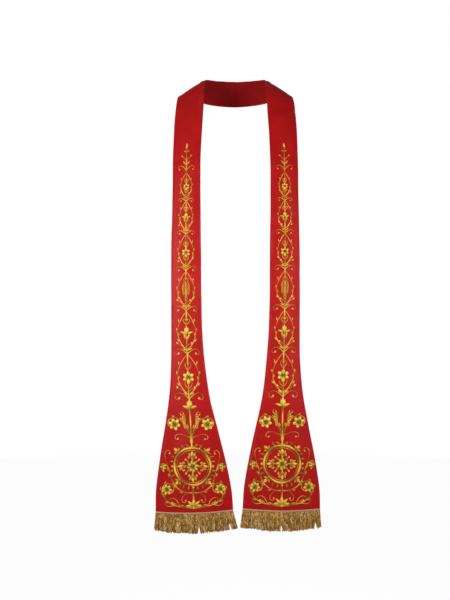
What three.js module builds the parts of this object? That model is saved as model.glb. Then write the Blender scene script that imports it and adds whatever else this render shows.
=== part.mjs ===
// A Roman stole as it is worn: two halves joined by a seam at the centre back of the neck, each running
// over a shoulder and down the front to a spade-shaped end with a bullion fringe.
// Millimetres, +Z up. The wearer faces -Y, so the wearer's left is +X. The origin is the middle of the
// neck opening, level with the top of the shoulders.
import * as THREE from "three";

const wall = 2.4; // face cloth, stiffening and backing together
const seamGap = 0.3; // between pieces that are sewn to each other
const columns = 8; // facets across a half, its heading and its fringe
const rowLength = 18; // longest facet along a half

const headingHeight = 5; // woven edge of the fringe, on the face of the hem
const headingThickness = 1.6;
const fringeLength = 46;
const fringeRows = 4;
const fringeSwell = 1.6; // how much thicker the skirt grows on each face towards its tips
const fringeSplay = 8; // how much wider it grows in all
const fringeBow = 4; // how much lower its middle hangs than its ends, beyond the bow of the hem

const hemBow = 5; // how far the middle of the hem hangs below its corners
const hemBowReach = 170; // length over which that bow dies away
const lean = 6; // how far both ends swing towards the wearer's left
const leanFrom = 700; // depth below the shoulders where that swing begins
const unevenness = 4; // the right end hangs this much lower than an even one, and the left as much higher

// Sections of the wearer's left half, from the centre back to the hem. innerX, innerY and innerZ place
// the neck-side edge. From there the cloth runs width millimetres to its outer edge, which lies slope
// degrees below the horizontal and turn degrees round from the wearer's left towards the back. bow is how
// far the middle of the cloth stands out from the straight line between its edges.
const sections = [
  { innerX: 0, innerY: 70, innerZ: 4, width: 76, slope: 60, turn: 90, bow: 1 },
  { innerX: 38, innerY: 63, innerZ: 4.5, width: 76, slope: 56, turn: 68, bow: 1.5 },
  { innerX: 62, innerY: 45, innerZ: 4, width: 77, slope: 46, turn: 47, bow: 2 },
  { innerX: 73, innerY: 25, innerZ: 2.5, width: 78, slope: 38, turn: 32, bow: 3 },
  { innerX: 79.5, innerY: 0, innerZ: -2, width: 79, slope: 31, turn: 22, bow: 4 },
  { innerX: 82, innerY: -22, innerZ: -13, width: 79, slope: 24, turn: 19, bow: 4 },
  { innerX: 83.5, innerY: -40, innerZ: -31, width: 79, slope: 15.5, turn: 17, bow: 4 },
  { innerX: 84.5, innerY: -60, innerZ: -65, width: 79, slope: 8, turn: 16, bow: 3.5 },
  { innerX: 86.5, innerY: -79, innerZ: -110, width: 79, slope: 5, turn: 14, bow: 3 },
  { innerX: 90, innerY: -94, innerZ: -170, width: 77, slope: 2.5, turn: 12, bow: 2.5 },
  { innerX: 92.5, innerY: -104, innerZ: -240, width: 75.5, slope: 1, turn: 10, bow: 2 },
  { innerX: 92.5, innerY: -110, innerZ: -335, width: 76, slope: 0, turn: 8, bow: 2 },
  { innerX: 91, innerY: -114, innerZ: -470, width: 80, slope: 0, turn: 6, bow: 2 },
  { innerX: 90, innerY: -116, innerZ: -600, width: 81, slope: 0, turn: 5, bow: 2 },
  { innerX: 86.5, innerY: -117, innerZ: -700, width: 84, slope: 0, turn: 4, bow: 2.5 },
  { innerX: 79.5, innerY: -118, innerZ: -780, width: 92.5, slope: 0, turn: 4, bow: 3 },
  { innerX: 68.5, innerY: -119, innerZ: -860, width: 110, slope: 0, turn: 3, bow: 4 },
  { innerX: 49.5, innerY: -119.5, innerZ: -940, width: 142, slope: 0, turn: 3, bow: 5 },
  { innerX: 31, innerY: -120, innerZ: -1020, width: 174.5, slope: 0, turn: 2, bow: 5.5 },
  { innerX: 16.5, innerY: -121, innerZ: -1100, width: 200, slope: 0, turn: 2, bow: 5 },
  { innerX: 12, innerY: -122, innerZ: -1160, width: 206, slope: 0, turn: 2, bow: 4 },
];

const sides = [
  { name: "left", sign: 1, drop: -unevenness },
  { name: "right", sign: -1, drop: unevenness },
];

const clothRed = new THREE.MeshStandardMaterial({ color: "#b4181c", roughness: 0.6, metalness: 0 });
const braidGold = new THREE.MeshStandardMaterial({ color: "#c9a468", roughness: 0.5, metalness: 0.3 });
const bullionGold = new THREE.MeshStandardMaterial({ color: "#94702f", roughness: 0.45, metalness: 0.5 });

function acrossDirection(slope, turn) {
  const down = THREE.MathUtils.degToRad(slope);
  const back = THREE.MathUtils.degToRad(turn);
  return new THREE.Vector3(Math.cos(down) * Math.cos(back), Math.cos(down) * Math.sin(back), -Math.sin(down));
}

function middleOf(section) {
  const inner = new THREE.Vector3(section.innerX, section.innerY, section.innerZ);
  return inner.addScaledVector(acrossDirection(section.slope, section.turn), section.width / 2);
}

// The second section mirrored past the seam makes the two halves meet without a corner.
const pastSeam = { ...sections[1], innerX: -sections[1].innerX, turn: 180 - sections[1].turn };
const knots = [pastSeam, ...sections];

// How far each section lies from the seam, along the middle of the cloth.
const distances = [-middleOf(knots[0]).distanceTo(middleOf(knots[1])), 0];
for (let i = 2; i < knots.length; i += 1) {
  distances.push(distances[i - 1] + middleOf(knots[i]).distanceTo(middleOf(knots[i - 1])));
}
const hemAt = distances.at(-1);
const hemDepth = -sections.at(-1).innerZ;

// One column of the table at any distance from the seam, by a cubic through its rows.
function valueAt(column, along) {
  const last = knots.length - 1;
  const next = distances.findIndex((distance, i) => i > 0 && (along <= distance || i === last));
  const rise = (i) => {
    const before = Math.max(i - 1, 0);
    const after = Math.min(i + 1, last);
    return (knots[after][column] - knots[before][column]) / (distances[after] - distances[before]);
  };
  const span = distances[next] - distances[next - 1];
  const t = (along - distances[next - 1]) / span;
  const from = knots[next - 1][column];
  const to = knots[next][column];
  const leaving = t * (1 - t) * (1 - t) * span * rise(next - 1);
  const arriving = t * t * (1 - t) * span * rise(next);
  return from + (to - from) * t * t * (3 - 2 * t) + leaving - arriving;
}

// The left half's section at any distance from the seam, with the direction its face looks.
function sectionAt(along) {
  const read = (distance) =>
    Object.fromEntries(Object.keys(sections[0]).map((column) => [column, valueAt(column, distance)]));
  const section = read(along);
  const travel = middleOf(read(along + 1)).sub(middleOf(read(along - 1)));
  const across = acrossDirection(section.slope, section.turn);
  const outward = travel.cross(across).normalize();
  return { ...section, across, outward };
}

// A point of a half, where share runs from 0 at the inner edge to 1 at the outer one and lift is its
// height over the middle of the wall.
function clothPoint(side, along, share, lift) {
  const section = sectionAt(along);
  const hump = 4 * share * (1 - share);
  const point = new THREE.Vector3(section.innerX, section.innerY, section.innerZ);
  point.addScaledVector(section.across, section.width * share);
  point.addScaledVector(section.outward, section.bow * hump + lift);
  point.z -= hemBow * hump * THREE.MathUtils.smoothstep(along, hemAt - hemBowReach, hemAt);
  const depth = Math.max(-point.z, 0);
  point.x = side.sign * point.x + lean * THREE.MathUtils.smoothstep(depth, leanFrom, hemDepth);
  point.z -= (side.drop * depth) / hemDepth;
  return point;
}

// A point of the fringe, where fall runs from 0 under the hem to 1 at the tips.
function fringePoint(side, fall, share, lift) {
  const point = clothPoint(side, hemAt, share, lift);
  const hump = 4 * share * (1 - share);
  point.x += side.sign * fringeSplay * fall * (share - 0.5);
  point.z -= seamGap + (fringeLength + fringeBow * hump) * fall;
  return point;
}

// A closed wall between a front and a back grid of points, each a list of rows.
function wallMesh(name, material, front, back, sign) {
  const rows = front.length;
  const perRow = front[0].length;
  const end = perRow - 1;
  const points = [...front.flat(), ...back.flat()];
  const frontAt = (i, j) => i * perRow + j;
  const backAt = (i, j) => (rows + i) * perRow + j;
  const indices = [];
  const quad = (a, b, c, d) => {
    indices.push(...(sign > 0 ? [a, b, c, a, c, d] : [a, c, b, a, d, c]));
  };
  for (let i = 0; i < rows - 1; i += 1) {
    for (let j = 0; j < end; j += 1) {
      quad(frontAt(i, j), frontAt(i + 1, j), frontAt(i + 1, j + 1), frontAt(i, j + 1));
      quad(backAt(i, j), backAt(i, j + 1), backAt(i + 1, j + 1), backAt(i + 1, j));
    }
    quad(frontAt(i, 0), backAt(i, 0), backAt(i + 1, 0), frontAt(i + 1, 0));
    quad(frontAt(i, end), frontAt(i + 1, end), backAt(i + 1, end), backAt(i, end));
  }
  for (let j = 0; j < end; j += 1) {
    quad(frontAt(0, j), frontAt(0, j + 1), backAt(0, j + 1), backAt(0, j));
    quad(frontAt(rows - 1, j), backAt(rows - 1, j), backAt(rows - 1, j + 1), frontAt(rows - 1, j + 1));
  }
  const geometry = new THREE.BufferGeometry().setFromPoints(points);
  geometry.setIndex(indices);
  geometry.computeVertexNormals();
  const mesh = new THREE.Mesh(geometry, material);
  mesh.name = name;
  return mesh;
}

// A grid of points, a row for each value in stops and a column for each facet edge.
function grid(stops, pointAt) {
  return stops.map((stop) => Array.from({ length: columns + 1 }, (_, j) => pointAt(stop, j / columns)));
}

function evenStops(from, to, count) {
  return Array.from({ length: count + 1 }, (_, i) => THREE.MathUtils.lerp(from, to, i / count));
}

function halfOf(side) {
  const headingAt = hemAt - headingHeight;
  const stops = [...evenStops(0, headingAt, Math.ceil(headingAt / rowLength)), hemAt];
  const layer = (lift) => {
    const rows = grid(stops, (along, share) => clothPoint(side, along, share, lift));
    rows[0].forEach((point) => {
      point.x = (side.sign * seamGap) / 2;
    });
    return rows;
  };
  return wallMesh(`half_${side.name}`, clothRed, layer(wall / 2), layer(-wall / 2), side.sign);
}

function headingOf(side) {
  const under = wall / 2 + seamGap;
  const layer = (lift) =>
    grid([hemAt - headingHeight, hemAt], (along, share) => clothPoint(side, along, share, lift));
  const front = layer(under + headingThickness);
  return wallMesh(`heading_${side.name}`, braidGold, front, layer(under), side.sign);
}

function fringeOf(side) {
  const layer = (lift, swell) =>
    grid(evenStops(0, 1, fringeRows), (fall, share) => fringePoint(side, fall, share, lift + swell * fall));
  const front = layer(wall / 2 + seamGap + headingThickness, fringeSwell);
  const back = layer(-wall / 2, -fringeSwell);
  return wallMesh(`fringe_${side.name}`, bullionGold, front, back, side.sign);
}

const group = new THREE.Group();
sides.forEach((side) => {
  group.add(halfOf(side), headingOf(side), fringeOf(side));
});

export default group;
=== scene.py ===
import math
import random

import bpy
import numpy as np
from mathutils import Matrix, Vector


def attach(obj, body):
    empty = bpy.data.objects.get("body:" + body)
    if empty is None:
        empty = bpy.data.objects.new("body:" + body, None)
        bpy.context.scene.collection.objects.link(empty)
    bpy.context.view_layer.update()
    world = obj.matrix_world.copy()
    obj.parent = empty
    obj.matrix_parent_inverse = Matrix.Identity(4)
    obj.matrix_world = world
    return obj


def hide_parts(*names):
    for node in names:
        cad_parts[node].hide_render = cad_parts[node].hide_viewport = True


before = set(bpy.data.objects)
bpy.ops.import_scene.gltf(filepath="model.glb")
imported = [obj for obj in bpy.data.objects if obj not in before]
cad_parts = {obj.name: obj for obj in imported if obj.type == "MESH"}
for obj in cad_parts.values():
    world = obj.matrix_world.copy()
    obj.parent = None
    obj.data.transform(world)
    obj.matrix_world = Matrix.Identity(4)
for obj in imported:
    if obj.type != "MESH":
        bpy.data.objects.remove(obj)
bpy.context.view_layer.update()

print("frame loaded")

# Helpers. Sizes are in millimetres until a mesh is made
metre = 0.001  # one millimetre in metres


def linear(hexColour):
    # sRGB hex to linear RGBA
    channels = [int(hexColour[i:i + 2], 16) / 255 for i in (1, 3, 5)]
    return [c / 12.92 if c < 0.04045 else ((c + 0.055) / 1.055) ** 2.4 for c in channels] + [1.0]


def addNode(tree, kind, inputs=None, stops=(), **settings):
    # inputs maps a socket's name or number to a value, or to another node's output.
    # stops are a colour ramp's (place, sRGB hex) from low to high
    node = tree.nodes.new(kind)
    for name, value in settings.items():
        setattr(node, name, value)
    for name, value in (inputs or {}).items():
        if isinstance(value, bpy.types.NodeSocket):
            tree.links.new(value, node.inputs[name])
        else:
            node.inputs[name].default_value = value
    if stops:
        elements = node.color_ramp.elements
        while len(elements) < len(stops):
            elements.new(0.5)
        for element, (place, colour) in zip(elements, stops):
            element.position = place
            element.color = linear(colour)
    return node


def startMaterial(name):
    material = bpy.data.materials.new(name)
    material.use_nodes = True
    material.node_tree.nodes.clear()
    return material, material.node_tree


def finishMaterial(tree, shader):
    addNode(tree, "ShaderNodeOutputMaterial", {"Surface": shader.outputs[0]})


def startThreads(name):
    # place is each point's own place on the flat cloth or along the cord, in metres
    material, tree = startMaterial(name)
    return material, tree, addNode(tree, "ShaderNodeUVMap", uv_map="stitchUv")


def finishThreads(material, colour, height, strength, relief, inputs):
    # relief is how far, in millimetres, the threads seem to stand up
    tree = material.node_tree
    bump = addNode(tree, "ShaderNodeBump", {
        "Height": height, "Strength": strength, "Distance": relief * metre})
    shader = addNode(tree, "ShaderNodeBsdfPrincipled", {
        "Base Color": colour.outputs["Color"], "Normal": bump.outputs[0], **inputs})
    finishMaterial(tree, shader)
    return material


def waves(spacing):
    # the Wave texture's scale that repeats at a spacing in millimetres, on coordinates in metres
    return math.pi / 10 / (spacing * metre)


def softStep(value, low, high):
    t = np.clip((value - low) / (high - low), 0, 1)
    return t * t * (3 - 2 * t)


def makePiece(name, points, faces, cornerUv, shade, materials, faceMaterial=None):
    # points in millimetres; cornerUv holds one (u, v) in millimetres for each corner of each face
    mesh = bpy.data.meshes.new(name)
    mesh.from_pydata((np.asarray(points) * metre).tolist(), [], faces)
    layer = mesh.uv_layers.new(name="stitchUv")
    layer.data.foreach_set("uv", (np.asarray(cornerUv, float) * metre).ravel())
    attribute = mesh.attributes.new("shade", "FLOAT", "POINT")
    attribute.data.foreach_set("value", np.asarray(shade, np.float32))
    for material in materials:
        mesh.materials.append(material)
    if faceMaterial is not None:
        mesh.polygons.foreach_set("material_index", np.asarray(faceMaterial, np.int32))
    mesh.polygons.foreach_set("use_smooth", [True] * len(faces))
    mesh.update()
    piece = bpy.data.objects.new(name, mesh)
    bpy.context.scene.collection.objects.link(piece)
    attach(piece, "root")
    return piece


def ringFaces(rings, size):
    # the faces between closed rings of points: each face's ring, its place on it and its corners
    i = np.repeat(np.arange(rings - 1), size)
    j = np.tile(np.arange(size), rings - 1)
    k = (j + 1) % size
    return i, j, np.stack([i * size + j, i * size + k, (i + 1) * size + k, (i + 1) * size + j], 1)


def distancesAlong(path):
    return np.concatenate([[0], np.cumsum(np.linalg.norm(np.diff(path, axis=0), axis=1))])


class Tubes:
    # Gathers many closed tubes, each a grid of rings, into one piece
    def __init__(self):
        self.points, self.faces, self.uvs, self.shades, self.count = [], [], [], [], 0

    def add(self, grid, around, along, shade):
        # grid is rings x ring points x 3; around has one value more than the ring, for its closing corner
        rings, size = grid.shape[:2]
        shade = np.broadcast_to(np.asarray(shade, float), (rings, size))
        around = np.broadcast_to(around, (rings, size + 1))
        along = np.broadcast_to(along, (rings, size + 1))
        i, j, corners = ringFaces(rings, size)
        self.faces += (corners + self.count).tolist()
        rows = np.stack([i, i, i + 1, i + 1], 1)
        columns = np.stack([j, j + 1, j + 1, j], 1)
        self.uvs.append(np.stack([around[rows, columns], along[rows, columns]], 2).reshape(-1, 2))
        for ring, order in ((0, -1), (rings - 1, 1)):  # end caps
            members = np.arange(size)[::order]
            self.faces.append((members + ring * size + self.count).tolist())
            self.uvs.append(np.stack([around[ring, members], along[ring, members]], 1))
        self.points.append(grid.reshape(-1, 3))
        self.shades.append(shade.ravel())
        self.count += rings * size

    def piece(self, name, material):
        return makePiece(name, np.vstack(self.points), self.faces, np.vstack(self.uvs),
                         np.concatenate(self.shades), [material])


# The form that the cloth, the embroidery and the fringe share
form = {
    "wall": 2.4,  # face, stiffening and backing together
    "hemBow": 5, "hemBowReach": 170,  # the middle of the hem hangs lower
    "lean": 6, "leanFrom": 700,  # both ends swing to the wearer's left
    "creaseDepth": 1.4,  # makes every crease this many times as deep
    "unevenness": 4,  # the right end hangs lower and the left end higher
    # centre back to hem, of the wearer's left half: the inner edge's x, y and z, then the width, the slope
    # down and turn back of the line across, and how far the middle stands out
    "sections": (
        (0, 70, 4, 76, 60, 90, 1),
        (38, 63, 4.5, 76, 56, 68, 1.5),
        (62, 45, 4, 77, 46, 47, 2),
        (73, 25, 2.5, 78, 38, 32, 3),
        (79.5, 0, -2, 79, 31, 22, 4),
        (82, -22, -13, 79, 24, 19, 4),
        (83.5, -40, -31, 79, 15.5, 17, 4),
        (84.5, -60, -65, 79, 8, 16, 3.5),
        (86.5, -79, -110, 79, 5, 14, 3),
        (90, -94, -170, 77, 2.5, 12, 2.5),
        (92.5, -104, -240, 75.5, 1, 10, 2),
        (92.5, -110, -335, 76, 0, 8, 2),
        (91, -114, -470, 80, 0, 6, 2),
        (90, -116, -600, 81, 0, 5, 2),
        (86.5, -117, -700, 84, 0, 4, 2.5),
        (79.5, -118, -780, 92.5, 0, 4, 3),
        (68.5, -119, -860, 110, 0, 3, 4),
        (49.5, -119.5, -940, 142, 0, 3, 5),
        (31, -120, -1020, 174.5, 0, 2, 5.5),
        (16.5, -121, -1100, 200, 0, 2, 5),
        (12, -122, -1160, 206, 0, 2, 4),
    ),
}
halves = (  # tilt lifts the inner corner of a hem
    {"name": "left", "sign": 1, "drop": -form["unevenness"], "tilt": 1.5},
    {"name": "right", "sign": -1, "drop": form["unevenness"], "tilt": 6},
)


def acrossDirection(slope, turn):
    down, back = np.radians(slope), np.radians(turn)
    return np.stack([np.cos(down) * np.cos(back), np.cos(down) * np.sin(back), -np.sin(down)], -1)


def middleOf(rows):
    return rows[:, :3] + acrossDirection(rows[:, 4], rows[:, 5]) * rows[:, 3:4] / 2


rows = np.array(form["sections"], float)
pastSeam = rows[1] * [-1, 1, 1, 1, 1, -1, 1] + [0, 0, 0, 0, 0, 180, 0]  # the second section, mirrored
knots = np.vstack([pastSeam, rows])
distances = distancesAlong(middleOf(knots))
distances = distances - distances[1]
hemAt = distances[-1]
hemDepth, hemWidth = -rows[-1, 2], rows[-1, 3]
rises = np.empty_like(knots)
rises[1:-1] = (knots[2:] - knots[:-2]) / (distances[2:] - distances[:-2])[:, None]
rises[0] = (knots[1] - knots[0]) / (distances[1] - distances[0])
rises[-1] = (knots[-1] - knots[-2]) / (distances[-1] - distances[-2])


def sectionRows(along):
    # the table's columns at any distance from the seam, by a cubic through its rows
    after = np.clip(np.searchsorted(distances, along), 1, len(knots) - 1)
    span = (distances[after] - distances[after - 1])[:, None]
    t = (along - distances[after - 1])[:, None] / span
    start, end = knots[after - 1], knots[after]
    leaving = t * (1 - t) ** 2 * span * rises[after - 1]
    arriving = t * t * (1 - t) * span * rises[after]
    return start + (end - start) * t * t * (3 - 2 * t) + leaving - arriving


# Soft troughs and ridges: how far along from the centre back and across from the middle
# towards the outer edge, half-length, half-width, slant from the cloth's length in degrees, and height
creases = {
    "left": (
        (38, -20, 26, 7, 62, 0.9), (62, -26, 20, 5, 40, -0.8), (88, -24, 30, 6, 28, 0.9),
        (118, -29, 70, 4.5, 2, 1.0), (175, -28, 60, 5, -2, 0.8), (150, 22, 46, 9, 24, -1.0),
        (204, 14, 13, 26, 12, -1.5), (228, 6, 13, 26, 4, 1.0), (252, 10, 13, 28, -8, -1.3),
        (330, -18, 120, 16, 5, -1.1), (420, 20, 150, 15, -4, 1.0), (590, -16, 170, 17, 3, 0.9),
        (760, 18, 150, 18, -3, -1.0), (905, -10, 130, 22, 4, 1.0), (1090, 34, 150, 20, 7, 1.6),
        (1170, -38, 170, 22, -9, -1.6), (1235, 66, 120, 18, 9, -1.8), (1240, 8, 120, 26, 0, 1.4),
        (1215, -78, 110, 16, -8, 1.5),
    ),
    "right": (
        (30, -18, 24, 7, 58, -0.8), (55, -25, 22, 5, 44, 0.9), (80, -27, 24, 5, 32, -0.7),
        (112, -30, 64, 4.5, 3, 1.1), (180, -28, 74, 5, 0, 0.7), (140, 18, 40, 10, 20, -0.9),
        (210, 6, 15, 25, -8, -1.5), (236, 14, 14, 24, 10, 1.1), (352, 15, 130, 15, -4, -1.0),
        (470, -19, 150, 15, 4, 1.1), (640, 17, 160, 17, -3, 0.8), (790, -14, 140, 19, 3, -1.0),
        (930, 12, 140, 20, -5, 0.9), (1110, -30, 140, 20, -8, 1.5), (1160, 42, 150, 22, 8, -1.5),
        (1230, -70, 110, 17, -9, -1.7), (1245, -6, 110, 24, 2, 1.2), (1205, 84, 100, 15, 7, 1.4),
    ),
}


def relief(half, along, across):
    # how far creases lift the cloth, from nothing at the seam
    lift = np.zeros(np.broadcast(along, across).shape)
    for place, side, length, width, turn, rise in creases[half["name"]]:
        slant = math.radians(turn)
        u = (along - place) * math.cos(slant) + (across - side) * math.sin(slant)
        v = (across - side) * math.cos(slant) - (along - place) * math.sin(slant)
        lift += rise * np.exp(-(u / length) ** 2 - (v / width) ** 2)
    return form["creaseDepth"] * lift * softStep(along, 0, 14)


def stolePoint(half, along, across, lift):
    # a point of a half in millimetres, across from its middle line and lift over the middle of its wall
    along, across, lift = np.broadcast_arrays(*(np.asarray(a, float) for a in (along, across, lift)))
    shape = along.shape
    along, across, lift = along.ravel(), across.ravel(), lift.ravel()
    row = sectionRows(along)
    travel = middleOf(sectionRows(along + 1)) - middleOf(sectionRows(along - 1))
    direction = acrossDirection(row[:, 4], row[:, 5])
    outward = np.cross(travel, direction)
    outward /= np.linalg.norm(outward, axis=1)[:, None]
    share = 0.5 + across / row[:, 3]
    hump = np.clip(4 * share * (1 - share), -0.2, 1)
    lift = lift + relief(half, along, across)
    point = row[:, :3] + direction * (row[:, 3] * share)[:, None]
    point += outward * (row[:, 6] * hump + lift)[:, None]
    nearHem = softStep(along, hemAt - form["hemBowReach"], hemAt)
    point[:, 2] -= form["hemBow"] * hump * nearHem
    point[:, 2] += half["tilt"] * np.clip(1 - share, 0, 1) * nearHem
    depth = np.maximum(-point[:, 2], 0)
    point[:, 0] = half["sign"] * point[:, 0] + form["lean"] * softStep(depth, form["leanFrom"], hemDepth)
    point[:, 2] -= half["drop"] * depth / hemDepth
    return point.reshape(*shape, 3)


faceLift = form["wall"] / 2

# Camera, light and floor
view = {
    "eye": (-27.8, -4112, -600),  # level with the middle of the panels
    "lens": 90.57,
    "floorDepth": 1500, "floorRadius": 5200,
    "floorFade": 1500,  # from this far out the floor melts into the backdrop
    "floorWhite": 0.97,  # and within it, the share of the backdrop's white that the camera sees
    "spread": 80,  # degrees: the soft boxes have grids, so the ends are dimmer than the middle
    "lights": (  # name, place, aim, size, watts, colour
        ("keyLight", (-980, -1500, -520), (-40, -100, -520), 620, 3.55, "#fffaf4"),
        ("fillLight", (1020, -1500, -540), (40, -100, -540), 620, 1.95, "#fffaf4"),
        ("topLight", (-200, -900, 1300), (0, -20, 0), 700, 0.5, "#ffffff"),
        ("backLight", (500, 2100, -350), (0, 0, -600), 1200, 13, "#ffffff"),
        ("sideLight", (-2200, 500, -200), (0, 0, -600), 1200, 4, "#ffffff"),
    ),
    "backdrop": "#ffffff", "ambient": 0.19,
}


def aimAt(thing, target):
    away = thing.location - Vector(target)
    thing.rotation_euler = away.to_track_quat("Z", "Y").to_euler()


def makeCamera():
    data = bpy.data.cameras.new("studioCamera")
    data.lens = view["lens"]
    data.sensor_width = 36
    data.clip_end = 50
    camera = bpy.data.objects.new("studioCamera", data)
    camera.location = [c * metre for c in view["eye"]]
    camera.rotation_euler = (math.radians(90), 0, 0)
    bpy.context.scene.collection.objects.link(camera)
    bpy.context.scene.camera = camera


def makeLights():
    for name, place, aim, size, watts, colour in view["lights"]:
        data = bpy.data.lights.new(name, "AREA")
        data.shape = "DISK"
        data.size = size * metre
        data.energy = watts
        data.spread = math.radians(view["spread"])
        data.color = linear(colour)[:3]
        lamp = bpy.data.objects.new(name, data)
        lamp.location = [c * metre for c in place]
        lamp.visible_camera = False
        aimAt(lamp, [c * metre for c in aim])
        bpy.context.scene.collection.objects.link(lamp)


def makeWorld():
    world = bpy.data.worlds.new("whiteStudio")
    bpy.context.scene.world = world
    world.use_nodes = True
    tree = world.node_tree
    tree.nodes.clear()
    path = addNode(tree, "ShaderNodeLightPath")
    strength = addNode(tree, "ShaderNodeMix", {
        0: path.outputs["Is Camera Ray"], 2: view["ambient"], 3: 1.0})
    sky = addNode(tree, "ShaderNodeBackground", {
        "Color": linear(view["backdrop"]), "Strength": strength.outputs[0]})
    addNode(tree, "ShaderNodeOutputWorld", {"Surface": sky.outputs[0]})


def makeFloor():
    bpy.ops.object.select_all(action="DESELECT")
    bpy.ops.mesh.primitive_circle_add(vertices=96, radius=view["floorRadius"] * metre, fill_type="NGON",
                                      location=(0, 0, -view["floorDepth"] * metre))
    floor = bpy.context.object
    bpy.ops.object.transform_apply(location=True, rotation=True, scale=True)
    floor.name = "paleFloor"
    # an even matt sheet that melts into the backdrop
    material, tree = startMaterial("matte white studio vinyl")
    coordinates = addNode(tree, "ShaderNodeTexCoord")
    away = addNode(tree, "ShaderNodeVectorMath", {0: coordinates.outputs["Object"]}, operation="LENGTH")
    edge = addNode(tree, "ShaderNodeMapRange", {
        0: away.outputs["Value"], 1: view["floorFade"] * metre, 2: view["floorRadius"] * metre},
        interpolation_type="SMOOTHSTEP")
    matt = addNode(tree, "ShaderNodeBsdfDiffuse", {"Color": linear("#f7f7f7")})
    glow = addNode(tree, "ShaderNodeEmission", {"Color": linear(view["backdrop"]), "Strength": 1.0})
    pale = addNode(tree, "ShaderNodeMath", {0: edge.outputs[0], 1: view["floorWhite"]}, operation="MAXIMUM")
    # the glow is only for the camera: the matt sheet is what light bounces off
    path = addNode(tree, "ShaderNodeLightPath")
    seen = addNode(tree, "ShaderNodeMath", {0: pale.outputs[0], 1: path.outputs["Is Camera Ray"]},
                   operation="MULTIPLY")
    both = addNode(tree, "ShaderNodeMixShader", {
        0: seen.outputs[0], 1: matt.outputs[0], 2: glow.outputs[0]})
    finishMaterial(tree, both)
    floor.data.materials.append(material)


makeCamera()
makeLights()
makeWorld()
makeFloor()
bpy.context.scene.view_settings.view_transform = "Standard"
print("camera, light and floor made")

# The two cloth halves
cloth = {
    "rowStep": 4.0, "fill": 44,  # spacing of rows, and plain columns between the edges
    "edgeColumns": (0.1, 0.45, 1.2, 2.0, 3.0, 3.8, 4.5, 5.2, 6.8),  # distances in from an edge
    "endRows": (0.1, 0.4, 1.2, 2.4),  # distances in from the hem
    "seamRows": (-0.04, 0.3, 0.9, 1.8),  # and from the seam, where the halves just meet
    "rollHeight": 0.55, "rollCentre": 2.0, "rollWidth": 1.7,  # the turned edge stands up a little
    "grooveDepth": 0.5, "grooveCentre": 4.5, "grooveWidth": 0.7,  # and its stitching draws in
    "hemRollCentre": 3, "hemRollWidth": 2.5,  # the hem's roll is broader
    "seamPinch": 1.4, "seamThickness": 0.6,  # the wall thins to this share into the centre-back seam
    "turnOver": 2.4, "turnStep": 0.3,  # the face turns this far onto the back, and is this thick
    "turnSoftness": 0.4,  # its edge is this much rounded
    "waver": 0.25,  # a hand-sewn edge is never quite straight
    "red": ((0.3, "#b00a0e"), (0.5, "#be0f12"), (0.72, "#c9191a")),
    "reverse": ((0.2, "#930a0f"), (0.65, "#ab1014")),
    "floatLength": 9.0, "floatWidth": 0.8,  # satin floats are 0.1 mm wide, drawn coarse enough to show
    "satinCloud": 22.0, "reverseCloud": 30.0,  # clouds of tone in a metre
    "weave": 1.1,  # the reverse's threads lie about 0.5 mm apart, drawn coarser
}


def makeSatin():
    # Polyester church satin: long warp floats give a soft sheen along the length and a smooth, even face
    material, tree, place = startThreads("woven red church satin")
    threads = addNode(tree, "ShaderNodeMapping", {
        0: place.outputs[0], "Scale": (1000 / cloth["floatWidth"], 1000 / cloth["floatLength"], 1)})
    floats = addNode(tree, "ShaderNodeTexNoise", {
        "Vector": threads.outputs[0], "Scale": 1.0, "Detail": 3.0})
    cloud = addNode(tree, "ShaderNodeTexNoise", {
        "Vector": place.outputs[0], "Scale": cloth["satinCloud"], "Detail": 3.0})
    tone = addNode(tree, "ShaderNodeMix", {0: 0.42, 2: cloud.outputs[0], 3: floats.outputs[0]})
    colour = addNode(tree, "ShaderNodeValToRGB", {"Fac": tone.outputs[0]}, cloth["red"])
    ridges = addNode(tree, "ShaderNodeTexWave", {
        "Vector": threads.outputs[0], "Scale": math.pi / 10, "Distortion": 1.5, "Detail": 1.0},
        bands_direction="X")  # one ridge to each float
    height = addNode(tree, "ShaderNodeMix", {0: 0.3, 2: floats.outputs[0], 3: ridges.outputs["Fac"]})
    gloss = addNode(tree, "ShaderNodeMapRange", {0: floats.outputs[0], 1: 0.3, 2: 0.7, 3: 0.5, 4: 0.4})
    return finishThreads(material, colour, height.outputs[0], 0.22, 0.4, {
        "Roughness": gloss.outputs[0], "Specular IOR Level": 0.16, "IOR": 1.5,
        "Sheen Weight": 0.03, "Sheen Roughness": 0.4, "Sheen Tint": linear("#f08a80")})


def makeReverse():
    # The back is a plain weave of the same dye: flatter, drier and a little darker than the satin face
    material, tree, place = startThreads("plain-woven red backing")
    warp, weft = [addNode(tree, "ShaderNodeTexWave", {
        "Vector": place.outputs[0], "Scale": waves(cloth["weave"]), "Distortion": 0.6},
        bands_direction=way) for way in "XY"]
    basket = addNode(tree, "ShaderNodeMath", {0: warp.outputs["Fac"], 1: weft.outputs["Fac"]},
                     operation="MULTIPLY")
    cloud = addNode(tree, "ShaderNodeTexNoise", {
        "Vector": place.outputs[0], "Scale": cloth["reverseCloud"], "Detail": 4.0})
    tone = addNode(tree, "ShaderNodeMix", {0: 0.5, 2: basket.outputs[0], 3: cloud.outputs[0]})
    colour = addNode(tree, "ShaderNodeValToRGB", {"Fac": tone.outputs[0]}, cloth["reverse"])
    return finishThreads(material, colour, basket.outputs[0], 0.25, 0.3, {
        "Roughness": 0.72, "Specular IOR Level": 0.15,
        "Sheen Weight": 0.04, "Sheen Roughness": 0.5, "Sheen Tint": linear("#e07a70")})


def swell(distance, centre, width):
    return np.exp(-((distance - centre) / width) ** 2)


def roundOff(distance, radius):
    # from nothing at an edge to one, as a quarter circle
    short = 1 - np.clip(distance / radius, 0, 1)
    return np.sqrt(1 - short ** 2)


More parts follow.
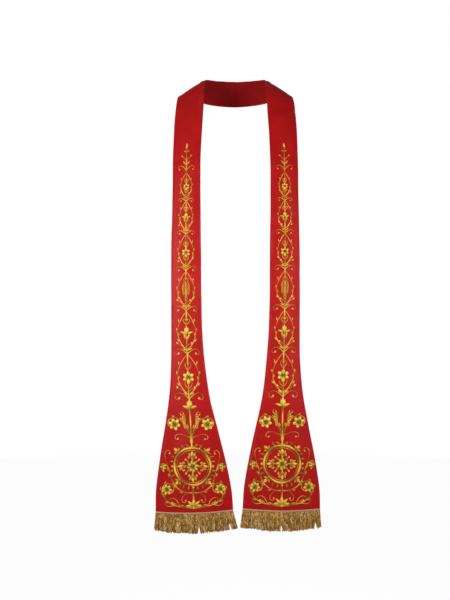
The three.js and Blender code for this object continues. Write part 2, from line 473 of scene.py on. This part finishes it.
def makeCloth(half, materials):
    # rows from the seam to the hem, each a ring over the face and back under the reverse
    starts, ends = np.array(cloth["seamRows"]), np.array(cloth["endRows"])
    inside = np.linspace(starts[-1], hemAt - ends[-1], int(hemAt / cloth["rowStep"]))
    along = np.concatenate([starts[:-1], inside, hemAt - ends[:-1][::-1]])
    width = sectionRows(along)[:, 3]
    edge = np.array(cloth["edgeColumns"])
    middle = np.linspace(-1, 1, cloth["fill"] + 2)[1:-1]
    across = np.hstack([edge - width[:, None] / 2, middle * (width[:, None] / 2 - edge[-1]),
                        width[:, None] / 2 - edge[::-1]])
    columns = across.shape[1]
    along = np.repeat(along[:, None], columns, 1)
    inward = width[:, None] / 2 - np.abs(across)
    opening = roundOff(np.maximum(along, 0), cloth["seamPinch"])
    pinched = cloth["seamThickness"] + (1 - cloth["seamThickness"]) * opening
    plump = roundOff(inward, faceLift) * roundOff(hemAt - along, faceLift) * pinched * faceLift
    turned = cloth["rollHeight"] * swell(inward, cloth["rollCentre"], cloth["rollWidth"])
    drawn = cloth["grooveDepth"] * swell(inward, cloth["grooveCentre"], cloth["grooveWidth"])
    hemRoll = cloth["rollHeight"] * swell(hemAt - along, cloth["hemRollCentre"], cloth["hemRollWidth"])
    hemRoll *= inward > cloth["rollCentre"]
    # two slow waves along the edge
    sway = np.sin(along / 41 + half["sign"]) + np.sin(along / 17.3 + 2 * half["sign"])
    place = across + cloth["waver"] * sway * np.abs(across) / width[:, None]
    over, soft = cloth["turnOver"], cloth["turnSoftness"]
    back = plump - cloth["turnStep"] * softStep(inward, over - soft, over + soft)
    top = stolePoint(half, along, place, plump + turned - drawn + hemRoll)
    under = stolePoint(half, along, place, -back)[:, ::-1]
    grid = np.concatenate([top, under], 1)
    u = np.concatenate([across, across[:, ::-1]], 1)
    v = np.concatenate([along, along], 1)
    # inside the turned edge the back shows the reverse
    behind = np.concatenate([np.zeros(columns), inward[0, ::-1] > over])
    rowCount, size = grid.shape[:2]
    corners = ringFaces(rowCount, size)[-1]
    lining = behind[corners[:, :2] % size].min(1).astype(int)
    n = np.arange(columns - 1)
    partner = size - 1 - n
    seam = np.stack([n, partner, partner - 1, n + 1], 1)  # closes the wall at the centre back
    hem = (rowCount - 1) * size + seam[:, ::-1]
    corners = np.vstack([corners, seam, hem])
    lining = np.concatenate([lining, np.zeros(len(seam) * 2, int)])
    if half["sign"] > 0:
        corners = corners[:, ::-1]
    uv = np.stack([u.ravel()[corners], v.ravel()[corners]], 2).reshape(-1, 2)
    piece = makePiece("cloth_" + half["name"], grid.reshape(-1, 3), corners.tolist(), uv,
                      np.zeros(rowCount * size), materials, lining)
    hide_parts("half_" + half["name"])
    return piece


# The embroidery
stitch = {
    "step": 1.4,  # spacing of the points along a line of stitches
    "sink": 0.12,  # the stitches' edges go a little into the cloth
    "rise": 0.85,  # padded satin stitch stands this high
    "lineShape": ((-1, 0), (-0.72, 0.7), (0, 1), (0.72, 0.7), (1, 0)),
    "leafShape": ((-1, 0), (-0.8, 0.72), (-0.4, 1), (0, 0.5), (0.4, 1), (0.8, 0.72), (1, 0)),
    "threadWidth": 0.8,  # rayon thread lies at about 0.4 mm, drawn coarser
    "grooveShade": (-0.12, 0.1), "blots": 260.0, "blotDepth": 0.1,  # painted shade in the grooves between threads and lighter thread tops, and blots of tone, so many in a metre
    "litFrom": (0.5, 0.86), "paintedSideShade": 0.38,  # painted light and shade: each motif is bright on its side towards litFrom, above, and olive on its side below
    "gold": ((0.0, "#3f3003"), (0.22, "#604704"), (0.45, "#a27608"), (0.7, "#f6cb15"), (1.0, "#fff87c")),
}


def threadColour(tree, place, threads, grooveShade, stops, blots=0, blotDepth=0):
    # the piece's shade attribute, with painted shade in the grooves between threads and lighter thread
    # tops, and changed by so many blots in a metre
    shade = addNode(tree, "ShaderNodeAttribute", attribute_name="shade")
    # painted shade and highlight: darker in the grooves between threads, lighter on their tops
    change = addNode(tree, "ShaderNodeMapRange", {0: threads.outputs["Fac"], 3: grooveShade[0], 4: grooveShade[1]})
    if blots:
        mottle = addNode(tree, "ShaderNodeTexNoise", {
            "Vector": place.outputs[0], "Scale": blots, "Detail": 2.0})
        blot = addNode(tree, "ShaderNodeMapRange", {
            0: mottle.outputs[0], 1: 0.3, 2: 0.7, 3: -blotDepth, 4: blotDepth})
        change = addNode(tree, "ShaderNodeMath", {0: change.outputs[0], 1: blot.outputs[0]},
                         operation="ADD")
    tone = addNode(tree, "ShaderNodeMath", {0: shade.outputs["Fac"], 1: change.outputs[0]},
                   operation="ADD", use_clamp=True)
    return addNode(tree, "ShaderNodeValToRGB", {"Fac": tone.outputs[0]}, stops)


def makeGoldThread():
    # Gold rayon laid in satin stitch: parallel threads flash bright where they turn to the light, and
    # painted shade darkens the grooves between them
    material, tree, place = startThreads("satin-stitched gold rayon")
    threads = addNode(tree, "ShaderNodeTexWave", {
        "Vector": place.outputs[0], "Scale": waves(stitch["threadWidth"]), "Distortion": 0.8,
        "Detail": 1.0, "Detail Scale": 2.0}, bands_direction="Y")
    colour = threadColour(tree, place, threads, stitch["grooveShade"], stitch["gold"], stitch["blots"],
                          stitch["blotDepth"])
    return finishThreads(material, colour, threads.outputs["Fac"], 0.35, 0.3, {
        "Roughness": 0.3, "Metallic": 0.08, "Specular IOR Level": 0.36})


def heading(start, angle, length, bend=0.0, curl=0.0, late=3):
    # A curving line. Its angle from straight up, towards +x, changes by bend evenly and by curl near its
    # end, the nearer the greater late is
    count = max(int(length / stitch["step"]), 7)
    s = np.linspace(0, 1, count)
    turn = angle + bend * s + curl * s ** late
    moves = np.stack([np.sin(np.radians(turn)), np.cos(np.radians(turn))], 1) * length / (count - 1)
    path = np.vstack([[0, 0], np.cumsum((moves[1:] + moves[:-1]) / 2, 0)]) + start
    return path, turn


def towards(angle):
    return np.array([math.sin(math.radians(angle)), math.cos(math.radians(angle))])


class Needle:
    # Works raised stitches on a half. Places are (across, height above the hem) in millimetres
    def __init__(self, half):
        self.half = half
        self.tubes = Tubes()

    def lay(self, path, widths, shade, shape="lineShape", rise=1.0, slant=0.5):
        path = np.asarray(path, float)
        tangent = np.gradient(path, axis=0)
        tangent /= np.linalg.norm(tangent, axis=1)[:, None] + 1e-9
        normal = np.stack([tangent[:, 1], -tangent[:, 0]], 1)
        widths = np.maximum(np.broadcast_to(widths, len(path)), 0.35)
        offsets, lifts = np.array(stitch[shape]).T
        reach = widths[:, None] / 2 * offsets
        place = path[:, None] + normal[:, None] * reach[:, :, None]
        low = np.minimum(widths / 1.6, 1) * stitch["rise"] * rise
        lift = faceLift - stitch["sink"] + lifts * (low + stitch["sink"])[:, None]
        grid = stolePoint(self.half, hemAt - place[..., 1], place[..., 0], lift)
        around = np.hstack([reach, reach[:, :1]])
        along = distancesAlong(path)[:, None] + slant * np.abs(around)
        # painted light and shade: the side of a stitch that faces litFrom is lighter, the other side darker
        lit = offsets * (normal @ np.array(stitch["litFrom"]))[:, None]
        tone = np.broadcast_to(shade, len(path))[:, None] + stitch["paintedSideShade"] * lit
        self.tubes.add(grid, around, along, tone)

    def line(self, start, angle, length, bend=0, curl=0, width=2.0, shade=0.54, taper=0.5, side=1,
             eye=0.0, late=3):
        # a stem or tendril, with a bead of radius eye on its end
        path, turn = heading(start, angle, length, bend, curl, late)
        path = path * (side, 1)
        s = np.linspace(0, 1, len(path))
        self.lay(path, width * (1 - taper * s), shade + 0.2 * np.sin(s * length / 9 + start[0]) - 0.05 * s)
        if eye:
            self.bead(path[-1], eye, shade + 0.25)
        return path, turn

    def leaf(self, start, angle, length, breadth, bend=0, shade=0.75, side=1, rise=1.0, base=0.4, full=0.8):
        # base is the share of the shade at its foot, and full moves the widest place: under 1 it is near
        # the base, over 1 near the tip
        path = heading(start, angle, length, bend)[0] * (side, 1)
        s = np.linspace(0, 1, len(path))
        widths = breadth * np.sin(np.pi * np.clip(s, 0.03, 0.985) ** full) ** (0.8 if full < 1 else 0.5)
        shape = "leafShape" if breadth > 3 else "lineShape"
        self.lay(path, widths, shade * (base + (1 - base) * softStep(s, 0, 0.75)), shape, rise, slant=1.1)

    def bead(self, centre, radius, shade=0.8, rise=1.2):
        s = np.linspace(-1, 1, 7)
        path = np.stack([np.full(7, centre[0]), centre[1] + s * radius], 1)
        self.lay(path, 2 * radius * np.sqrt(np.clip(1 - s ** 2, 0.03, 1)), shade, rise=rise)

    def rosette(self, centre, radius, petals, turn=0, shade=0.8, side=1):
        # broad petals, narrow darker ones over the gaps, and a raised eye
        layers = ((0, 1.0, 0.92, shade, 1.0), (180 / petals, 0.66, 0.5, shade - 0.3, 1.5))
        for offset, reach, fullness, tone, rise in layers:
            for n in range(petals):
                angle = turn + offset + n * 360 / petals
                out = towards(angle)
                breadth = 2 * math.pi * radius * 0.6 / petals * fullness
                start = np.array(centre) + out * radius * 0.14
                self.leaf(start, angle, radius * (reach - 0.14), breadth, 0, tone + 0.1 * (n % 2), side,
                          rise, 0.25, full=1.5)
        self.bead((centre[0] * side, centre[1]), radius * 0.22, 0.3, rise=2.0)

    def ear(self, start, angle, length, bend=0, side=1, shade=0.72):
        # an ear of wheat: grains in pairs up a bent stalk, and one at the tip
        path, turn = self.line(start, angle, length, bend, width=1.5, shade=0.42, side=side)
        grain = length * 0.15
        for n in range(6):
            at = int(len(path) * (0.38 + 0.1 * n))
            for lean in (-1, 1):
                self.leaf(path[at] * (side, 1), turn[at] + lean * 30, grain, grain * 0.42, -lean * 14,
                          shade + 0.05 * lean, side, base=0.55)
        self.leaf(path[-1] * (side, 1), turn[-1], grain * 1.1, grain * 0.42, 0, shade + 0.1, side)

    def grapes(self, centre, size, side=1):
        # a hanging bunch
        for row, count in enumerate((2, 3, 4, 3, 2, 1)):
            for n in range(count):
                x = centre[0] + (n - (count - 1) / 2) * size * 0.36
                y = centre[1] + size * (0.62 - 0.3 * row)
                self.bead((x * side, y), size * 0.185, 0.4 + 0.19 * ((n + 2 * row) % 4), rise=1.5)

    def lily(self, start, angle, size, side=1, shade=0.8):
        # five pointed petals that open from a small cup
        for lean, bend, length in ((-38, -46, 0.86), (38, 46, 0.86), (-17, 8, 0.94), (17, -8, 0.94)):
            self.leaf(start, angle + lean, size * length, size * 0.3, bend, shade - 0.1, side)
        self.leaf(start, angle, size * 1.12, size * 0.36, 0, shade + 0.12, side, rise=1.2)
        self.bead((start[0] * side, start[1]), size * 0.13, 0.4, rise=1.6)

    def circle(self, centre, radius, width, shade):
        turn = np.linspace(0, 2 * math.pi, max(int(radius * 4.6), 24))
        path = np.stack([centre[0] + radius * np.sin(turn), centre[1] + radius * np.cos(turn)], 1)
        self.lay(path, width, shade + 0.22 * np.sin(turn * 4 + 0.7))

    def branch(self, path, turn, at, lean, length, bend, curl, width=1.9, side=1, eye=1.9, late=3):
        # a tendril that springs from a line, at a share of its length
        n = int((len(path) - 1) * at)
        return self.line(path[n] * (side, 1), turn[n] + lean, length, bend, curl, width, 0.56, 0.4, side,
                         eye, late)

    def spray(self, path, turn, side, shade, leaves, size=1):
        # leaves that spring from a line: share of its length, lean, length, breadth and bend of each
        for at, lean, length, breadth, bend in leaves:
            n = int((len(path) - 1) * at)
            self.leaf(path[n] * (side, 1), turn[n] + lean, length * size, breadth * size, bend, shade, side)


pattern = {
    "foot": 14,  # the lowest stitches stand this far above the hem
    "ringAt": 124, "ring": 48, "ringWidth": 5.6,
    "top": 978,  # height of the finial's tip
    # twin vines part and meet again all the way up: start, end, reach to each side, and what they hold
    "eyes": ((314, 418, 27, "flower"), (432, 530, 23, "lily"), (546, 636, 21, "wheat"),
             (652, 734, 19, "flower"), (748, 822, 16.5, "lily"), (835, 897, 14, "flower")),
    "eyeReach": 22,  # the reach that the motifs in an eye are drawn for
}


def workCross(needle):
    # a ring about a cross whose arms end in three petals, with a garland of leaves outside
    middle, radius = np.array([0, pattern["ringAt"]]), pattern["ring"]
    needle.circle(middle, radius, pattern["ringWidth"], 0.6)
    needle.circle(middle, radius - 6, 1.8, 0.45)
    for n in range(4):
        angle = n * 90
        out = towards(angle)
        needle.line(middle + out * 5, angle, radius * 0.52, width=4.2, shade=0.45, taper=-0.3)
        tip = middle + out * radius * 0.48
        needle.leaf(tip, angle, radius * 0.36, 9, shade=0.9)
        for lean in (-1, 1):
            needle.leaf(tip, angle + lean * 58, radius * 0.34, 6.4, -lean * 50, shade=0.66)
            # tendrils curl back from each arm into the quarters
            needle.line(middle + out * radius * 0.4, angle + lean * 30, 21, lean * 20, lean * 250,
                        1.8, 0.62, 0.3, eye=2.0)
        way = towards(angle + 45)
        needle.leaf(middle + way * 8, angle + 45, radius * 0.34, 6, shade=0.5)
        needle.bead(middle + way * radius * 0.53, 2.6, 0.85)
        needle.lily(middle + way * (radius + 3), angle + 45, 15, shade=0.8)
        for lean in (-1, 1):
            for step, reach in ((11, 11), (24, 13)):
                way = towards(angle + lean * step)
                needle.leaf(middle + way * (radius + 2), angle + lean * (step + 26), reach, 4.6, -lean * 44,
                            shade=0.7 - 0.01 * step)
        needle.bead(middle + out * (radius + 6), 2.8, 0.85)
    needle.rosette(middle, 14.5, 8, 11, 0.85)
    needle.bead((0, pattern["foot"] + 3.4), 4.0, 0.7, rise=1.7)


def workFoot(needle, side):
    foot, over = pattern["foot"], pattern["ringAt"] + pattern["ring"]
    # a long vine along the hem that turns up and winds inwards round a rosette
    vine, turn = needle.line((2, foot + 3), 90, 181, -35, -414, 4.2, 0.56, 0.4, side)
    needle.rosette(vine[-1] * (side, 1), 13.5, 7, 8, 0.88, side)
    needle.spray(vine, turn, side, 0.6, (
        (0.12, -38, 15, 5.2, 46), (0.24, -36, 15, 5, 40), (0.36, 40, 13, 4.6, -46), (0.45, -42, 14, 5, 52),
        (0.56, 40, 13, 4.6, -46), (0.66, 44, 12, 4.4, -40), (0.76, 44, 9, 3.8, -30)))
    # tendrils into the outer corner and the bay beside the stem
    needle.branch(vine, turn, 0.28, 34, 40, 0, -250, side=side)
    needle.branch(vine, turn, 0.2, -62, 52, 40, 250, side=side, eye=2.4)
    # palmette at the foot of the stem
    for angle, length, breadth in ((0, 24, 9.5), (32, 22, 8), (62, 19, 7)):
        if angle or side > 0:
            needle.leaf((angle * 0.05, foot + 4), angle, length, breadth, angle * 0.5, 0.88, side)
    # arms that follow the ring round and wind over bunches of grapes
    arm, turn = needle.line((2.5, foot + 42), 100, 148, -183, 506, 3.4, 0.56, 0.4, side, late=6)
    needle.grapes(arm[-1] * (side, 1) + (-2.5, -3), 12, side)
    needle.spray(arm, turn, side, 0.66, (
        (0.16, 40, 12, 4.6, -44), (0.3, 40, 13, 4.8, -40), (0.5, 42, 14, 5, -50), (0.62, 40, 12, 4.4, -46),
        (0.72, 42, 11, 4.4, -40)))
    needle.branch(arm, turn, 0.7, -16, 62, 10, -270, side=side, late=4, eye=2.3)
    needle.branch(arm, turn, 0.1, 40, 44, 30, 240, 1.8, side=side, eye=2.2)
    needle.line((3, over + 3), 62, 34, 10, 240, 1.8, 0.56, 0.3, side, eye=2.0)
    # above the ring: a scroll that opens outwards and winds down over an open flower
    scroll, turn = needle.line((2, over + 14), 0, 137, 78, 286, 3.6, 0.56, 0.4, side, late=4)
    needle.rosette(scroll[-1] * (side, 1), 15.5, 6, 15, 0.9, side)
    needle.spray(scroll, turn, side, 0.68, (
        (0.26, -34, 15, 5, 40), (0.44, -36, 13, 4.6, 40), (0.6, -36, 12, 4.4, 40), (0.5, 34, 10, 3.8, -30)))
    needle.branch(scroll, turn, 0.1, 58, 58, 10, 250, side=side, late=4, eye=2.3)
    needle.branch(scroll, turn, 0.36, -34, 50, -10, 270, side=side, late=4)
    needle.ear((3, over + 32), 36, 56, -40, side)


def workEye(needle, side, start, end, reach, held):
    # two vines bow apart and close again over what they hold
    size = reach / pattern["eyeReach"]
    t = np.linspace(0, 1, int((end - start) / stitch["step"]))
    bow = reach * np.sin(np.pi * t ** 0.9) ** 0.85
    path = np.stack([side * (bow + 1), start + (end - start) * t], 1)
    needle.lay(path, 2.3 - 0.9 * t, 0.64 + 0.2 * np.sin(t * 9))
    turn = np.degrees(np.arctan2(np.gradient(bow), np.gradient(path[:, 1])))
    needle.spray(path, turn, side, 0.74, (
        (0.2, 34, 12, 4.2, -40), (0.48, 30, 10, 3.6, -36), (0.72, 46, 11, 3.8, -20),
        (0.36, -40, 9, 3.2, 36)), size)
    # a scroll springs out from under each meeting, with a sprig over it
    needle.line((1, start - 12), 40, 52 * size, 56, 250, 2.1, 0.56, 0.35, side, eye=2.5 * size)
    needle.leaf((1, start - 6), 34, 14 * size, 4.4 * size, 34, 0.8, side)
    needle.branch(path * (side, 1), turn, 0.05, 10, 22 * size, 4, 0, 1.3, side, 2.5 * size)
    middle = (start + end) / 2
    if held == "flower":
        needle.line((1, middle + 10 * size), 40, 26 * size, -30, -220, 1.6, 0.56, 0.3, side, eye=1.7)
        needle.line((1, middle - 30 * size), 50, 24 * size, -30, -230, 1.6, 0.56, 0.3, side, eye=1.7)
    elif held == "lily":
        needle.leaf((1, middle - 24 * size), 30, 22 * size, 5.4 * size, -34, 0.8, side)
        needle.line((1, middle + 16 * size), 50, 24 * size, -20, -230, 1.6, 0.56, 0.3, side, eye=1.7)
    else:
        needle.ear((1.5, start + 14), 17, 44 * size, -20, side)
        needle.line((1, middle + 14 * size), 30, 24 * size, 0, -200, 1.5, 0.56, 0.3, side, eye=1.6)


def workFinial(needle, side):
    top = pattern["top"]
    needle.line((0.8, top - 72), 30, 34, 46, 190, 1.8, 0.56, 0.3, side, eye=1.9)
    needle.leaf((0.8, top - 60), 24, 15, 4, 20, 0.78, side)
    needle.line((0.8, top - 46), 38, 17, 10, width=1.2, shade=0.56, side=side, eye=2.0)
    needle.leaf((0.6, top - 24), 44, 8, 3.2, 30, 0.85, side)


def workEmbroidery(half, material):
    needle = Needle(half)
    foot, top = pattern["foot"], pattern["top"]
    below, above = pattern["ringAt"] - pattern["ring"] - 2, pattern["ringAt"] + pattern["ring"] + 2
    needle.line((0, foot + 4), 0, below - foot - 4, width=4.2, taper=0.1, shade=0.58)
    needle.line((0, above), 0, top - above - 14, width=4.0, taper=0.45, shade=0.66)
    workCross(needle)
    needle.lily((0, above + 98), 0, 26, shade=0.9)
    for side in (-1, 1):
        workFoot(needle, side)
        for eye in pattern["eyes"]:
            workEye(needle, side, *eye)
        workFinial(needle, side)
    for start, end, reach, held in pattern["eyes"]:
        size = reach / pattern["eyeReach"]
        middle = (start + end) / 2
        needle.bead((0, start - 3), 3.2 * size, 0.62, rise=1.6)
        if held == "flower":
            needle.rosette((0, middle - 6 * size), 12.5 * size, 6, 0, 0.88)
        elif held == "lily":
            needle.lily((0, middle - 12 * size), 0, 22 * size, shade=0.86)
        else:
            needle.leaf((0, middle + 4 * size), 0, 13 * size, 5 * size, shade=0.85)
    needle.leaf((0, top - 17), 0, 18, 6, shade=0.95)
    needle.bead((0, top - 20), 2.8, 0.4, rise=1.4)
    piece = needle.tubes.piece("embroidery_" + half["name"], material)
    return piece


# Heading braid and bullion fringe
trim = {
    "headingThickness": 1.6, "gap": 0.3,  # the gap to the cloth, as between the plain solids
    "cords": ((0.4, 0.62, 0.12), (1.95, 0.72, 0.62), (3.5, 0.62, 0.82)),  # height, radius and tone of each
    "cordTurn": 3.4,  # one twist of a cord
    "tape": (-0.25, 4.2, 0.6),  # foot, top and thickness of the flat tape that they are sewn to
    # the last of these is painted shade: darker between the plies and lighter on them
    "braidPlies": 2, "braidTwist": 1.3, "braidGrooveShade": (-0.18, 0.18),
    "braid": ((0.1, "#a87c40"), (0.5, "#e2b482"), (0.9, "#ffe0b4")),
    "fringeLength": 48.5, "fringeHump": 6,  # at its corners, and how much more in the middle
    "fringeSplay": 8,  # how much wider it is at the foot
    # the strands at the inner corner, over this share of the width, swing this much further inwards
    "sweep": {"left": 2.5, "right": 9}, "sweepShare": 0.3,
    "strands": ((132, 0.75, 0), (150, -0.1, 1), (150, -0.9, 2)),  # count and depth of each layer
    "strandRadius": 0.98, "loopRadius": 0.72,
    "usualReach": 0.93, "mostReach": 0.985,  # of the fringe's length
    "crinkle": 0.7,  # strands wander this far in and out at the top, and less below
    "strandTone": 0.41, "loopTone": 0.52, "paintedLayerShade": 0.16, "glint": 0.55,  # painted shade makes the deeper layers darker, and glint sets the painted glints
    "clumping": 0.7, "speckle": 0.5,  # how often a new clump begins, and how much its tone wanders
    "loops": 84,
    "ends": 0.003,  # the share of the width that stays free at each end
    # where strands stand apart: place across, half the gap, and how far down it opens
    "partings": {
        "left": ((0.5, 0.014, 30), (0.93, 0.02, 34)),
        "right": ((0.44, 0.016, 31), (0.08, 0.014, 33)),
    },
    "bullion": ((0.0, "#7d4e0a"), (0.3, "#bd8226"), (0.55, "#e8b04a"), (0.8, "#ffe298"), (1.0, "#fffada")),
    "plies": 2, "twist": 3.0,  # a strand's plies and the length of one turn, coarser than the real 1 mm
    # painted shade between the bullion's turns and lighter turns, then blots of tone in a metre
    "grooveShade": (-0.3, 0.12), "blots": 420.0, "blotDepth": 0.14,
}


def twistWave(tree, place, plies, spacing):
    # slant bands that close round a cord
    slant = addNode(tree, "ShaderNodeMapping", {
        0: place.outputs[0], "Scale": (1000 * plies / (2 * math.pi), 1000 / spacing, 0)})
    return addNode(tree, "ShaderNodeTexWave", {
        "Vector": slant.outputs[0], "Scale": math.pi / 5, "Distortion": 0.5, "Detail Scale": 0.4},
        bands_direction="DIAGONAL")


def makeBullion():
    # Twisted metallised bullion: dull brown gold with a bright glint on each turn, partly painted, and
    # painted shade between the turns
    material, tree, place = startThreads("twisted gold bullion")
    turns = twistWave(tree, place, trim["plies"], trim["twist"])
    colour = threadColour(tree, place, turns, trim["grooveShade"], trim["bullion"], trim["blots"],
                          trim["blotDepth"])
    return finishThreads(material, colour, turns.outputs["Fac"], 0.7, 0.6, {
        "Roughness": 0.4, "Metallic": 0.08})


def makeBraid():
    # Woven gimp of pale gold cords: softer and paler than the fringe under it
    material, tree, place = startThreads("braided pale gold gimp")
    plies = twistWave(tree, place, trim["braidPlies"], trim["braidTwist"])
    # painted shade: the cords are darker between their plies and lighter on them
    colour = threadColour(tree, place, plies, trim["braidGrooveShade"], trim["braid"])
    return finishThreads(material, colour, plies.outputs["Fac"], 0.5, 0.3, {
        "Roughness": 0.5, "Metallic": 0.15})


def strandTube(tubes, centres, radii, shade, sides=5, startTurn=0.0):
    # a round cord along centres; u runs from 0 to 2 pi round it
    centres = np.asarray(centres, float)
    travel = np.gradient(centres, axis=0)
    travel /= np.linalg.norm(travel, axis=1)[:, None] + 1e-9
    firm = np.where(np.abs(travel[:, 1:2]) < 0.9, [[0.0, 1.0, 0.0]], [[1.0, 0.0, 0.0]])
    wide = np.cross(firm, travel)
    wide /= np.linalg.norm(wide, axis=1)[:, None]
    deep = np.cross(travel, wide)
    angles = np.linspace(0, 2 * math.pi, sides + 1)
    spots = angles[:-1, None] + startTurn
    radii = np.broadcast_to(radii, len(centres))[:, None, None]
    grid = centres[:, None] + radii * (np.cos(spots) * wide[:, None] + np.sin(spots) * deep[:, None])
    shade = np.broadcast_to(shade, len(centres))
    tubes.add(grid, angles, distancesAlong(centres)[:, None], shade[:, None])


def fringePoint(half, fall, share, lift):
    # from the hem down by fall, 0 to 1, a little wider and bowed as the hem is. share runs across the hem
    # from its inner corner to its outer one
    fall, share, lift = np.broadcast_arrays(*(np.asarray(a, float) for a in (fall, share, lift)))
    share = np.clip(share, trim["ends"], 1 - trim["ends"])
    point = stolePoint(half, np.full(share.shape, hemAt), (share - 0.5) * hemWidth, lift)
    hump = 4 * share * (1 - share)
    reach = trim["sweepShare"]
    sweep = trim["sweep"][half["name"]] * softStep(reach - share, 0, reach)
    point[..., 0] += half["sign"] * fall * (trim["fringeSplay"] * (share - 0.5) - sweep)
    point[..., 2] -= trim["gap"] + (trim["fringeLength"] + trim["fringeHump"] * hump) * fall
    return point


def layStrands(half, tubes, chance):
    # three layers of hanging strands, crinkled at the top, with uneven ends
    clumpAt = np.linspace(0, 1, 12)
    for count, depth, layer in trim["strands"]:
        for n in range(count):
            if n == 0 or chance.random() < trim["clumping"]:
                # strands that lie together catch the light together, and end together
                clump = [chance.uniform(-1, 1) * trim["speckle"] for down in clumpAt]
                clumpReach = chance.gauss(0, 0.022)
            share = (n + 0.5 + chance.uniform(-0.3, 0.3)) / count
            share = min(max(share, 2 * trim["ends"]), 1 - 2 * trim["ends"])
            uneven = clumpReach + chance.uniform(-0.035, 0.025)
            uneven += 0.015 * math.sin(share * 19 + half["sign"])
            reach = min(trim["usualReach"] + uneven, trim["mostReach"])
            swing = chance.gauss(0, 0.0028)
            fall = reach * np.linspace(0, 1, 18) ** 1.5 - 0.005  # more points where the top is crinkled
            wave = chance.uniform(0, 6.28)
            wiggle = 0.0056 * np.exp(-fall * 2.0) * np.sin(fall * 34 + wave)
            wiggle += 0.003 * np.sin(fall * 14 + wave)
            shares = share + wiggle + swing * np.maximum(fall, 0) ** 1.5
            for place, gape, start in trim["partings"][half["name"]]:
                away = np.sign(share - place) * gape * math.exp(-abs(share - place) / 0.035)
                shares = shares + away * softStep(fall * trim["fringeLength"], start - 12, 46)
            crinkle = trim["crinkle"] * np.exp(-fall * 3) * np.sin(fall * 31 + wave * 2)
            out = depth + crinkle + chance.uniform(-0.25, 0.25)
            centres = fringePoint(half, fall, shares, out + (1 - layer) * 0.5 * fall)
            taper = np.interp(fall / reach, (0, 0.3, 0.94, 1), (1.0, 0.92, 0.95, 0.5))
            # painted shade: the layers further back are darker
            tone = trim["strandTone"] + chance.gauss(0, 0.12) - trim["paintedLayerShade"] * layer
            glint = np.exp(-((fall - chance.uniform(0, 1)) / 0.06) ** 2) * chance.uniform(-0.4, 1)
            shade = tone + 0.1 * np.sin(fall * 41 + 3 * wave) + np.interp(fall, clumpAt, clump)
            shade += trim["glint"] * glint
            strandTube(tubes, centres, trim["strandRadius"] * taper, np.clip(shade, 0, 1), startTurn=wave)


def layLoops(half, tubes, chance):
    # short loops over the tops of the strands
    for n in range(trim["loops"]):
        share = (n + 0.5 + chance.uniform(-0.25, 0.25)) / trim["loops"]
        deep = chance.uniform(0.2, 0.34)
        s = np.linspace(0, 1, 15)
        fall = deep * np.sin(np.pi * s) - 0.004
        bulge = chance.choice((-1, 1)) * chance.uniform(0.0045, 0.0065)
        shares = share + bulge * np.cos(np.pi * s) + 0.002 * np.sin(s * 17 + n)
        centres = fringePoint(half, fall, shares, 0.75 + 0.3 * np.sin(s * 11 + n))
        shade = trim["loopTone"] + chance.gauss(0, 0.22) + 0.16 * np.sin(s * 9 + n)
        strandTube(tubes, centres, trim["loopRadius"], np.clip(shade, 0, 1), startTurn=n)


def makeFringe(half, material):
    chance = random.Random(11 + half["sign"])
    tubes = Tubes()
    layStrands(half, tubes, chance)
    layLoops(half, tubes, chance)
    piece = tubes.piece("bullion_fringe_" + half["name"], material)
    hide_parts("fringe_" + half["name"])
    return piece


def makeHeading(half, material):
    # a flat tape with three twisted cords along it
    tubes = Tubes()
    inner = faceLift + trim["gap"]
    outer = inner + trim["headingThickness"]
    reach = hemWidth / 2 - 0.4
    across = np.linspace(-reach, reach, 120)
    foot, top, thickness = trim["tape"]
    heights = np.array([foot, top, top, foot])
    lifts = inner + np.array([0, 0, thickness, thickness])
    grid = stolePoint(half, hemAt - heights, across[:, None], lifts)
    around = np.array([0, 5, 6, 11, 12.0])  # millimetres round the tape, from its foot
    tubes.add(grid, around, across[:, None], 0.35)
    for height, radius, tone in trim["cords"]:
        spots = np.linspace(-reach + radius, reach - radius, 230)
        for ply in (0, math.pi):
            phase = spots / trim["cordTurn"] * 2 * math.pi + ply + height
            up = height + 0.45 * radius * np.sin(phase)
            out = outer - radius + 0.35 * radius * np.cos(phase)
            centres = stolePoint(half, hemAt - up, spots, out)
            # painted shade: each ply is lighter where it comes forward and darker where it turns under
            strandTube(tubes, centres, radius * 0.62, tone + 0.2 * np.cos(phase))
    piece = tubes.piece("heading_braid_" + half["name"], material)
    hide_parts("heading_" + half["name"])
    return piece


# Everything is made here, one half after the other
satin = makeSatin()
reverse = makeReverse()
goldThread = makeGoldThread()
bullion = makeBullion()
braid = makeBraid()
print("materials made")
for half in halves:
    cut = makeCloth(half, [satin, reverse])
    stitches = workEmbroidery(half, goldThread)
    head = makeHeading(half, braid)
    fringe = makeFringe(half, bullion)
    for piece in (cut, stitches, head, fringe):
        print(piece.name, sum(len(face.vertices) - 2 for face in piece.data.polygons), "triangles")
